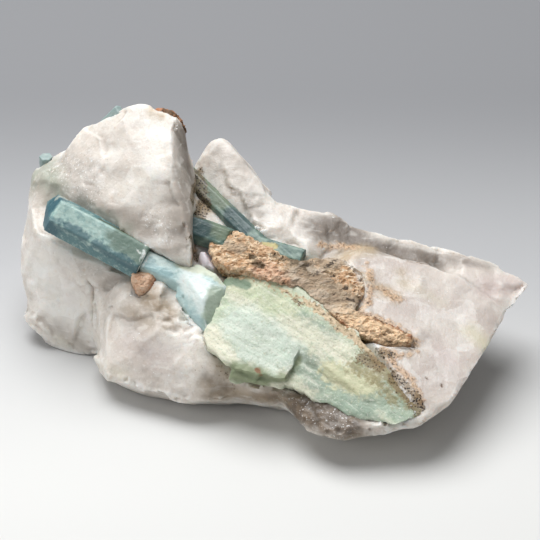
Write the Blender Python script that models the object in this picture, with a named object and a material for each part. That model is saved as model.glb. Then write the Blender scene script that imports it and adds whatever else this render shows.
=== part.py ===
"""Aquamarine in its quartz matrix, as a collector's specimen that rests on its flat underside.

The quartz is one broken block, grown as one piece. The beryl crystals and the crusts of feldspar
are pieces of their own, each in a pocket that the quartz leaves for it. Corners and lengths are in
millimetres: +X runs along the specimen, -Y is its front, and +Z is up.
"""

import math

import bmesh
import bpy
from mathutils import Vector, noise

MM = 0.001
GAP = 0.3
CRUST_GAP = 0.7
STONE_GRAIN = 1.2
CRUST_GRAIN = 0.9
# How wide the dents and bumps of broken stone are, and how much of its roughness each width makes.
CHIPS = ((9, 1), (4, 0.6), (2, 0.4))
QUARTZ_FACES = 5600
VEIN_FACES = 1300
SMALL_CRUST_FACES = 220

# Each lump of the quartz is the hull of its own corners, and the block is all of them grown together.
QUARTZ = {
    "boulder": [
        (-70, 6, -2), (-61, 0, -2), (-53, 0, -2), (-44, 6, -2), (-40, 30, -2), (-50, 44, -2), (-66, 40, -2),
        (-79, 18, 24), (-79, 15, 15), (-77, 8, 7), (-72, 4, 1), (-62, -1, 0), (-55, -2, 2), (-55, 0, 8),
        (-61, 3, 18), (-75, 24, 35), (-76, 36, 40), (-76, 42, 28), (-73, 18, 37), (-66, 9, 33), (-58, 2, 26),
        (-60, 45, 46), (-40, 46, 40), (-30, 40, 25), (-40, 0, 30), (-48, -1, 31),
    ],
    "main_peak": [
        (-47, 38, 66), (-43, 39, 68), (-34, 34, 70), (-29, 33, 68), (-27, 32, 63), (-26, 30, 55), (-24, 29, 47),
        (-50, 50, 48), (-34, 46, 58), (-29, 45, 38), (-54, 41, 62), (-59, 43, 58), (-66, 42, 50), (-64, 34, 50),
        (-62, 21, 46), (-52, 11, 45), (-40, 2, 41), (-31, -3, 40), (-24, -7, 39.5), (-25, -2, 26),
        (-30, 25, 66), (-30, 15, 62.5), (-27.5, 8, 56), (-24.5, 4, 49), (-24, -1, 44), (-56, 28, 55),
        (-58, 18, 30), (-32, 4, 20), (-28, 40, 20), (-58, 42, 20), (-24, 12, 40),
    ],
    "left_ledge": [
        (-76, 42, 42), (-75, 37, 43), (-69, 29, 46), (-64, 24, 46), (-60, 38, 52), (-66, 47, 46), (-72, 48, 42),
        (-76, 32, 34), (-60, 20, 30), (-60, 45, 30),
    ],
    "front_block": [
        (-54, -6, 8), (-55, -10, 4), (-50, -24, 8), (-43, -25.5, 8.5), (-33, -30, 8), (-26, -34, 7.5),
        (-12, -34, 8),
        (-12, -33, 13), (-53, -3, 21), (-50, -9, 18), (-47, -4, 29), (-37, -9, 31), (-31, -13.5, 29),
        (-22.5, -23, 22.5), (-19, -27, 21.5), (-13, -31, 18), (-46, -10, -2), (-38, -20, -2), (-20, -24, -2),
        (-6, -22, -2), (-5, 10, -2), (-40, 10, -2), (-34, -2, 33), (-27, -6, 29.5), (-17, -15, 24),
    ],
    "core": [
        (-30, 20, -2), (-8, -20, -2), (18, -32, -2), (38, -30, -2), (46, -14, -2), (44, 8, -2), (20, 32, -2),
        (-20, 42, -2), (-22, 0, 33), (-18, -20, 22), (-9, -31, 16), (10, -38, 13), (22, -44, 11), (-2, -6, 32),
        (-22, 28, 41), (14, -6, 33), (36, -30, 22), (10, 16, 38), (30, 10, 32),
    ],
    "front_rim": [
        (5, -37, 8), (8, -46, 9.5), (14, -53, 10), (20, -56, 11), (36, -55, 13), (44, -54, 14), (48, -53, 15), (3, -37, 15),
        (12, -43, 15), (21, -48, 14), (37, -53, 15), (8, -28, -2), (16, -36, -2), (32, -34, -2), (30, -20, 10),
    ],
    "middle_rim": [
        (-14, -32, 8), (-4, -35, 9), (6, -37, 9), (-12, -33, 17), (0, -37, 17), (7, -38, 16), (-6, -24, -2),
        (8, -28, -2), (0, -20, 14),
    ],
    "white_slab": [
        (29, 5, 36), (46, 3, 33), (57, 2, 30), (72, -12, 23), (62.5, -31, 20.5), (53, -48, 17), (47, -53, 15),
        (42, -50, 16), (36, -38, 24), (28, -24, 29), (22, -8, 34), (24, 2, 37), (44, -28, 27), (30, 4, 20),
        (48, 2, 16), (58, -5, 12), (56, -22, 9), (44, -40, 7), (40, -44, 6), (20, -28, 8),
    ],
    "right_tip": [
        (82, 3.5, 24), (78, 6, 25), (72, 6, 27), (63, 8, 28), (57, 2, 29), (71, -11, 22.5), (77, -2, 22.5),
        (68, 2, 14), (56, 0, 6), (50, 10, 10),
    ],
    "back_rim": [
        (73, 9, 26.5), (63, 12.5, 28.5), (50, 14, 31), (40, 14, 32), (36, 16, 34), (31, 16, 35), (25, 16, 37), (20, 0, 33),
        (46, 2, 28), (57, 2, 25), (20, 34, 4), (45, 26, 4), (58, 14, 8), (20, 34, -2), (43, 22, -2),
    ],
    "grey_ridge": [
        (0, 20, 45), (6, 20, 43), (19, 19, 40), (25, 16, 37), (12, 2, 36), (2, 5, 38), (26, 5, 33), (-5, 40, 4),
        (25, 34, 4), (-8, 36, 30), (22, 28, 28),
    ],
    "second_peak": [
        (-3, 26, 48), (-11, 38, 52), (-15, 40, 55), (-19, 39, 54), (-22, 36, 51), (-24, 33, 49), (-14, 20, 44),
        (-4, 8, 40), (1, 5, 39), (3, 12, 42), (-12, 30, 51), (-22, 48, 25), (0, 46, 20), (-6, 38, 45),
        (-30, 30, 30), (-20, 10, 25),
    ],
    "saddle": [
        (-27, 27, 46), (-22, 30, 46), (-25, 14, 43), (-24, 4, 38), (-14, 4, 38), (-6, 7, 37), (-16, 20, 43),
        (-26, 20, 25), (-8, 6, 25),
    ],
    "white_block": [
        (-22, 0, 39), (-18, 2, 40), (-15, -3, 38), (-16, -5, 36), (-20, -4, 37), (-21, 0, 30), (-16, -2, 30),
    ],
}

# A six-sided beryl crystal: the middles of its two ends, the way that its broad face looks, and the
# widths of three of its sides. The other three match them. An end is set back along the crystal by
# so many millimetres for each millimetre towards the broad face, or by a length for each corner.
CRYSTALS = {
    "aquamarine_prism": [((-68, 12.5, 45.2), (-38.8, -0.4, 35.4), (0, -0.61, 0.79), (6.9, 4.8, 4.8),
                          ((2.5, 2.5, -0.5, -3.5, -0.8, 1.6), 0))],
    "saddle_crystal_long": [
        ((-26.5, 31.5, 47), (-3, 5, 37.5), (-0.2, -0.5, 0.85), (3.6, 2.8, 2.8), (0, 0.2)),
        ((-7.5, 6, 38.3), (10, -1, 37), (0, -0.5, 0.87), (4, 2.2, 2.2), (0, 0)),
    ],
    "saddle_crystal_short": [((-26.5, 9, 42.5), (-12.5, 4.6, 39.2), (0, -0.6, 0.8), (5, 3.6, 3.6), (0, 0.3))],
    "left_tip_crystal": [((-72, 44.5, 36), (-72, 44.5, 45.3), (0, -1, 0), (2.2, 2, 2), (0, 0.05))],
    "peak_sliver_crystal": [((-54.5, 41, 57), (-47.3, 41, 64.8), (-0.4, -0.6, 0.6), (2.6, 1.2, 1.2), (0, 0.3))],
}

SHAFT = ((-38.2, -0.2, 35), (-22, -7, 30.5), (0, -0.55, 0.83), (5, 3.4, 3.4), (0, 0))
BLOCK = [
    (-27.5, -5, 36), (-22, -3, 36), (-16.5, -7.5, 35.3), (-13.5, -10.5, 33), (-13.8, -13, 30),
    (-20.3, -15.5, 31.5), (-19.5, -21.5, 24), (-26.3, -13.5, 26), (-28.5, -10.5, 29.5),
    (-25, -4, 24), (-17, -7, 22), (-20, -14, 19),
]

SLAB = {
    "plate": [
        (-19, -24.5, 25), (-18, -28, 23.5), (-13, -32, 22.5), (-10, -35.5, 21), (-1, -38, 20.5), (5, -40, 20.5),
        (9, -32.5, 24), (12, -25, 28.5), (6, -13, 35), (-2, -9, 36.5), (-8, -6, 36.5), (-13.5, -8, 33.5),
        (-14, -13, 30), (-17, -24, 17), (-10, -31, 14), (4, -35, 13), (8, -28, 15), (8, -12, 25),
        (-10, -9, 25),
    ],
    "blade": [
        (-4, -9.5, 36), (8, -11, 35), (16, -19, 32), (2, -22, 29.8), (24, -27, 29.5), (30, -33, 27.5), (33, -38, 25),
        (36, -42, 22.5), (41, -48, 18.5), (43.5, -51, 16.5), (34, -46.2, 19), (27, -46.2, 19),
        (22, -42.7, 20), (16, -37.5, 22), (9, -32, 23.8), (8, -20, 22), (20, -34, 13), (34, -44, 10),
        (24, -26, 18), (12, -14, 25),
    ],
    "front_facet": [
        (9, -32.4, 23), (16, -37.5, 21.5), (22, -42.7, 19.6), (27, -46.2, 18.6), (34, -46.2, 18.6),
        (40, -48, 17), (43.5, -51, 16.3), (4, -39.3, 17.5), (12.5, -41, 16), (18, -42.2, 15.5),
        (22, -45.4, 15), (25, -48.8, 14), (29.5, -52.6, 14), (36.6, -54.3, 15), (41.6, -52.6, 15.5),
        (2, -34, 14), (10, -30, 14), (25, -40, 10), (38, -46, 10),
    ],
}
SLAB_COLUMNS = [
    ((-11, -33.5, 18), (-1.8, -35.5, 17.5), (0, -0.7, 0.7), (2.8, 2.4, 2.4), (0, 0)),
    ((-1, -36, 17.5), (5, -37.5, 17.5), (0, -0.7, 0.7), (2.6, 2, 2), (0, 0)),
]

VEIN = {
    "orange": [
        (-20, 3, 41), (-12, 8.5, 43), (-9, 5.5, 42.3), (-5, 4, 40.8), (0, -2.5, 39.8), (9, -4, 38.8),
        (6, -13.5, 35.8), (0, -12, 36.8), (-8, -8.5, 37.8), (-13, -7, 38), (-17.5, -5, 38.5),
        (-17, 1, 33), (-8, 2, 32), (4, -4, 30), (0, -8, 29), (-12, -4, 31),
    ],
    "brown": [
        (5, -3, 39), (12, -2, 38.2), (22, 1, 36.8), (28, -6, 34.8), (29.5, -13, 33.1), (26.5, -20, 31.3),
        (16, -19, 32.8), (9, -17, 33.8), (4, -12, 35.8), (8, -6, 30), (22, -4, 29), (22, -14, 26),
        (10, -14, 27),
    ],
    "rusty_strip": [
        (14, -19, 32.8), (22, -18, 32.6), (31, -21.5, 30.5), (42.5, -27, 28), (44, -30.5, 26.5),
        (33, -31, 27.5), (24, -28, 29.6), (16, -21, 32.3), (18, -20, 25), (30, -25, 21), (40, -28, 20),
    ],
}
WEDGE = [
    (-42.5, -5.5, 34), (-35, -4.2, 34.2), (-35.8, -8, 28), (-40.5, -8.6, 28.5), (-38, -9.2, 31.2), (-41, 2, 28),
    (-35, 2, 28), (-38, 0, 25),
]
CAP = [
    (-36.5, 34.5, 69.6), (-34, 32.8, 70), (-29.5, 32, 68.3), (-26.2, 31, 63), (-27, 35, 59), (-29, 33.5, 60),
    (-31, 37.5, 65), (-36.5, 38, 67), (-32.5, 34.5, 64),
]


# Colour, roughness and how far light passes through, for each kind of stone.
STONES = {
    "white_quartz": ((0.80, 0.76, 0.73), 0.45, 0.0),
    "teal_beryl": ((0.33, 0.52, 0.52), 0.25, 0.2),
    "pale_beryl": ((0.70, 0.82, 0.80), 0.35, 0.1),
    "mint_beryl": ((0.74, 0.82, 0.72), 0.5, 0.0),
    "deep_beryl": ((0.16, 0.32, 0.32), 0.25, 0.2),
    "orange_feldspar": ((0.74, 0.50, 0.35), 0.8, 0.0),
}
STONE_OF = {
    "quartz_matrix": "white_quartz",
    "aquamarine_prism": "teal_beryl",
    "aquamarine_shaft": "pale_beryl",
    "beryl_slab": "mint_beryl",
    "saddle_crystal_long": "deep_beryl",
    "saddle_crystal_short": "deep_beryl",
    "left_tip_crystal": "teal_beryl",
    "peak_sliver_crystal": "teal_beryl",
    "feldspar_vein": "orange_feldspar",
    "feldspar_wedge": "orange_feldspar",
    "feldspar_cap": "orange_feldspar",
}


def hexagon(widths):
    """Corners of a hexagon with equal angles, its sides as wide as widths says, around its middle."""
    corners = [Vector((0, 0, 0))]
    for side in range(5):
        turn = math.radians(-60 * side)
        corners.append(corners[-1] + widths[side % 3] * Vector((math.cos(turn), math.sin(turn), 0)))
    middle = sum(corners, Vector((0, 0, 0))) / 6
    return [corner - middle for corner in corners]


def crystal_corners(start, end, facing, widths, setbacks):
    start, end = Vector(start), Vector(end)
    along = (end - start).normalized()
    broad = (Vector(facing) - along * along.dot(Vector(facing))).normalized()
    across = broad.cross(along)
    corners = []
    for middle, inward, setback in ((start, along, setbacks[0]), (end, -along, setbacks[1])):
        for side, corner in enumerate(hexagon(widths)):
            back = setback[side] if isinstance(setback, tuple) else setback * corner.y
            corners.append(middle + across * corner.x + broad * corner.y + inward * back)
    return corners


def grown(corners, gap):
    """Corners of a hull that stands off from the hull of corners by gap, more or less, on every side."""
    reach = 1.25 * gap
    steps = [Vector(side) * reach for axis in range(3) for side in (signed(axis, 1), signed(axis, -1))]
    return [Vector(corner) + step for corner in corners for step in steps]


def signed(axis, sign):
    return [sign if axis == own else 0 for own in range(3)]


def add_object(name, bm):
    bmesh.ops.recalc_face_normals(bm, faces=bm.faces)
    mesh = bpy.data.meshes.new(name)
    bm.to_mesh(mesh)
    bm.free()
    obj = bpy.data.objects.new(name, mesh)
    bpy.context.scene.collection.objects.link(obj)
    return obj


def add_hull(bm, corners):
    verts = [bm.verts.new(Vector(corner) * MM) for corner in corners]
    made = bmesh.ops.convex_hull(bm, input=verts)
    spare = {item for key in ("geom_interior", "geom_unused") for item in made[key]}
    bmesh.ops.delete(bm, geom=[item for item in spare if isinstance(item, bmesh.types.BMVert)], context="VERTS")


def hull_object(name, corners):
    bm = bmesh.new()
    add_hull(bm, corners)
    bmesh.ops.dissolve_limit(bm, angle_limit=math.radians(0.5), verts=bm.verts, edges=bm.edges)
    return add_object(name, bm)


def bake(obj):
    """Leaves obj with the shape that its modifiers give it, and no modifiers."""
    bpy.context.view_layer.update()
    shaped = obj.evaluated_get(bpy.context.evaluated_depsgraph_get())
    mesh = bpy.data.meshes.new_from_object(shaped)
    obj.modifiers.clear()
    spare = obj.data
    obj.data = mesh
    bpy.data.meshes.remove(spare)
    return obj


def combine(obj, other, operation):
    """Unites obj with other or cuts other from it, and removes other."""
    boolean = obj.modifiers.new(operation.lower(), "BOOLEAN")
    boolean.operation = operation
    boolean.solver = "EXACT"
    boolean.object = other
    bake(obj)
    bpy.data.objects.remove(other)


def unite(name, hulls):
    piece = hull_object(name, hulls[0])
    for corners in hulls[1:]:
        combine(piece, hull_object("lump", corners), "UNION")
    return piece


def carve(obj, hulls, gap=GAP):
    """Leaves a pocket in obj for each of the hulls, wider than it by gap."""
    for corners in hulls:
        combine(obj, hull_object("pocket", grown(corners, gap)), "DIFFERENCE")


def grow_together(stone, grain):
    """Leaves one closed skin round everything in stone, as fine as grain."""
    remesh = stone.modifiers.new("grown_together", "REMESH")
    remesh.mode = "VOXEL"
    remesh.voxel_size = grain * MM
    return bake(stone)


def rough_stone(name, hulls, grain, hollow, bulge, faces, flat_at=None):
    """One lump of broken stone over the hulls, chipped in by up to hollow and out by up to bulge."""
    bm = bmesh.new()
    for corners in hulls:
        add_hull(bm, corners)
    stone = grow_together(add_object(name, bm), grain)
    bm = bmesh.new()
    bm.from_mesh(stone.data)
    bm.normal_update()
    pushes = []
    for vert in bm.verts:
        place = vert.co / MM
        chip = sum(share * noise.noise(place / width) for width, share in CHIPS)
        depth = 0.5 + 0.5 * max(-1, min(1, chip))
        pushes.append((bulge - (hollow + bulge) * depth) * MM)
    for vert, push in zip(bm.verts, pushes):
        vert.co += vert.normal * push
    bm.to_mesh(stone.data)
    bm.free()
    grow_together(stone, grain)
    decimate = stone.modifiers.new("broken_faces", "DECIMATE")
    decimate.ratio = min(1, faces / sum(len(polygon.vertices) - 2 for polygon in stone.data.polygons))
    bake(stone)
    if flat_at is not None:
        cut_flat(stone, flat_at)
    return stone


def drop_crumbs(obj):
    """Keeps only the largest connected body of obj."""
    bm = bmesh.new()
    bm.from_mesh(obj.data)
    bodies = []
    waiting = set(bm.verts)
    while waiting:
        body = {waiting.pop()}
        edge_of_body = set(body)
        while edge_of_body:
            near = {edge.other_vert(vert) for vert in edge_of_body for edge in vert.link_edges}
            edge_of_body = near - body
            body |= near
        waiting -= body
        bodies.append(body)
    bodies.sort(key=len)
    for crumb in bodies[:-1]:
        bmesh.ops.delete(bm, geom=list(crumb), context="VERTS")
    bm.to_mesh(obj.data)
    bm.free()


def cut_flat(stone, height):
    """Cuts stone off level at height and closes its underside."""
    bm = bmesh.new()
    bm.from_mesh(stone.data)
    everything = bm.verts[:] + bm.edges[:] + bm.faces[:]
    bmesh.ops.bisect_plane(
        bm, geom=everything, dist=0.01 * MM, plane_co=(0, 0, height * MM), plane_no=(0, 0, 1), clear_inner=True)
    bmesh.ops.holes_fill(bm, edges=[edge for edge in bm.edges if edge.is_boundary])
    bmesh.ops.triangulate(bm, faces=[face for face in bm.faces if len(face.verts) > 4])
    bm.to_mesh(stone.data)
    bm.free()


def stand_at_origin(pieces):
    """Moves the pieces so that the middle of the specimen's underside is at the origin."""
    places = [vert.co for piece in pieces for vert in piece.data.vertices]
    low, high = ([pick(place[axis] for place in places) for axis in range(3)] for pick in (min, max))
    shift = Vector(((low[0] + high[0]) / 2, (low[1] + high[1]) / 2, low[2]))
    for piece in pieces:
        for vert in piece.data.vertices:
            vert.co -= shift


def stone_materials():
    materials = {}
    for name, (colour, roughness, transmission) in STONES.items():
        material = bpy.data.materials.new(name)
        material.use_nodes = True
        shader = material.node_tree.nodes["Principled BSDF"]
        shader.inputs["Base Color"].default_value = (*colour, 1)
        shader.inputs["Roughness"].default_value = roughness
        shader.inputs["Metallic"].default_value = 0
        shader.inputs["Transmission Weight"].default_value = transmission
        shader.inputs["IOR"].default_value = 1.57
        materials[name] = material
    return materials


def main():
    for obj in list(bpy.data.objects):
        bpy.data.objects.remove(obj)
    hulls = {name: [crystal_corners(*crystal) for crystal in group] for name, group in CRYSTALS.items()}
    hulls["aquamarine_shaft"] = [crystal_corners(*SHAFT), BLOCK]
    hulls["beryl_slab"] = list(SLAB.values()) + [crystal_corners(*column) for column in SLAB_COLUMNS]
    crystals = {name: unite(name, group) for name, group in hulls.items()}
    carve(crystals["beryl_slab"], hulls["aquamarine_shaft"])
    crusts = {"feldspar_vein": list(VEIN.values()), "feldspar_wedge": [WEDGE], "feldspar_cap": [CAP]}
    for name, group in crusts.items():
        faces = VEIN_FACES if name == "feldspar_vein" else SMALL_CRUST_FACES
        crust = rough_stone(name, group, CRUST_GRAIN, 0.9, 0, faces)
        for neighbour in hulls.values():
            carve(crust, neighbour)
    quartz = rough_stone("quartz_matrix", QUARTZ.values(), STONE_GRAIN, 0.5, 1, QUARTZ_FACES, flat_at=0)
    for group in hulls.values():
        carve(quartz, group)
    for group in crusts.values():
        carve(quartz, group, CRUST_GAP)
    pieces = list(bpy.data.objects)
    for piece in pieces:
        drop_crumbs(piece)
    stand_at_origin(pieces)
    materials = stone_materials()
    for piece in pieces:
        piece.data.materials.clear()
        piece.data.materials.append(materials[STONE_OF[piece.name]])


main()
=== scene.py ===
"""Aquamarine in its quartz matrix: the look of the stone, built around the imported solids.

Every stone is a finely divided copy of its solid, roughened as that mineral breaks or grows. Lengths in the
tables below are in millimetres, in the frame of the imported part.
"""

import math

import bmesh
import bpy
import numpy as np
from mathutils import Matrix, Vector, noise
from mathutils.bvhtree import BVHTree


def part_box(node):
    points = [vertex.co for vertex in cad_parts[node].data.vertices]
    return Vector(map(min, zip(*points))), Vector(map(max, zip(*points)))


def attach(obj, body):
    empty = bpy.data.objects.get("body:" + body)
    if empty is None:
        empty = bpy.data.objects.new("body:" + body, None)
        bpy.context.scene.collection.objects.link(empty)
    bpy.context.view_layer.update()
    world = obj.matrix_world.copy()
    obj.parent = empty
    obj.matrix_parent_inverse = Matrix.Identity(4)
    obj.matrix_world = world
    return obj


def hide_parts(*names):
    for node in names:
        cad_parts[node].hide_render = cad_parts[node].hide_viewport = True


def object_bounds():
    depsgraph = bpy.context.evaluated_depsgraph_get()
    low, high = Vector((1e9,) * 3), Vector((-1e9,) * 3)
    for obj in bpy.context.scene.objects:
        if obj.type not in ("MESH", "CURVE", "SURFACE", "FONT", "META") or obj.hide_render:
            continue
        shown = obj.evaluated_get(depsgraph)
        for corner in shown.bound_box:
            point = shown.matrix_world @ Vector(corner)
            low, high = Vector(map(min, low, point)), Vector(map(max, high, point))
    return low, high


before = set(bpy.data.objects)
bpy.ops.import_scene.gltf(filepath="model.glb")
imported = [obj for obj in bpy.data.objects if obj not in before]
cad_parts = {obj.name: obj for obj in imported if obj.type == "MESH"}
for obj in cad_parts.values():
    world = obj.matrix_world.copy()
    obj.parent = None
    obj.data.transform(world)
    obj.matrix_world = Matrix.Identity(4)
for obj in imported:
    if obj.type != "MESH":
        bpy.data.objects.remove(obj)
CAD_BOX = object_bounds()

MM = 0.001
COARSE = 1.0
QUARTZ_GRAIN = 0.68 * COARSE
CRYSTAL_GRAIN = 0.36 * COARSE
SLAB_GRAIN = 0.42 * COARSE
CRUST_GRAIN = 0.36 * COARSE
QUARTZ_TRIANGLES = 192000
MERGE_DISTANCE = 0.001
SHELL_LIMIT = 1.6
SHARP_DEGREES = 42
NOISE_SEED = 1
noise.seed_set(NOISE_SEED)

# The beryl crystals and the feldspar crusts that stand in the quartz, and how deep its skin runs under each.
SET_IN_QUARTZ = {
    "aquamarine_prism": 0.5,
    "aquamarine_shaft": 0.5,
    "beryl_slab": 0.7,
    "saddle_crystal_long": 0.5,
    "saddle_crystal_short": 0.5,
    "left_tip_crystal": 0.4,
    "peak_sliver_crystal": 0.4,
    "feldspar_vein": 1.3,
    "feldspar_wedge": 0.8,
    "feldspar_cap": 0.8,
}

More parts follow.
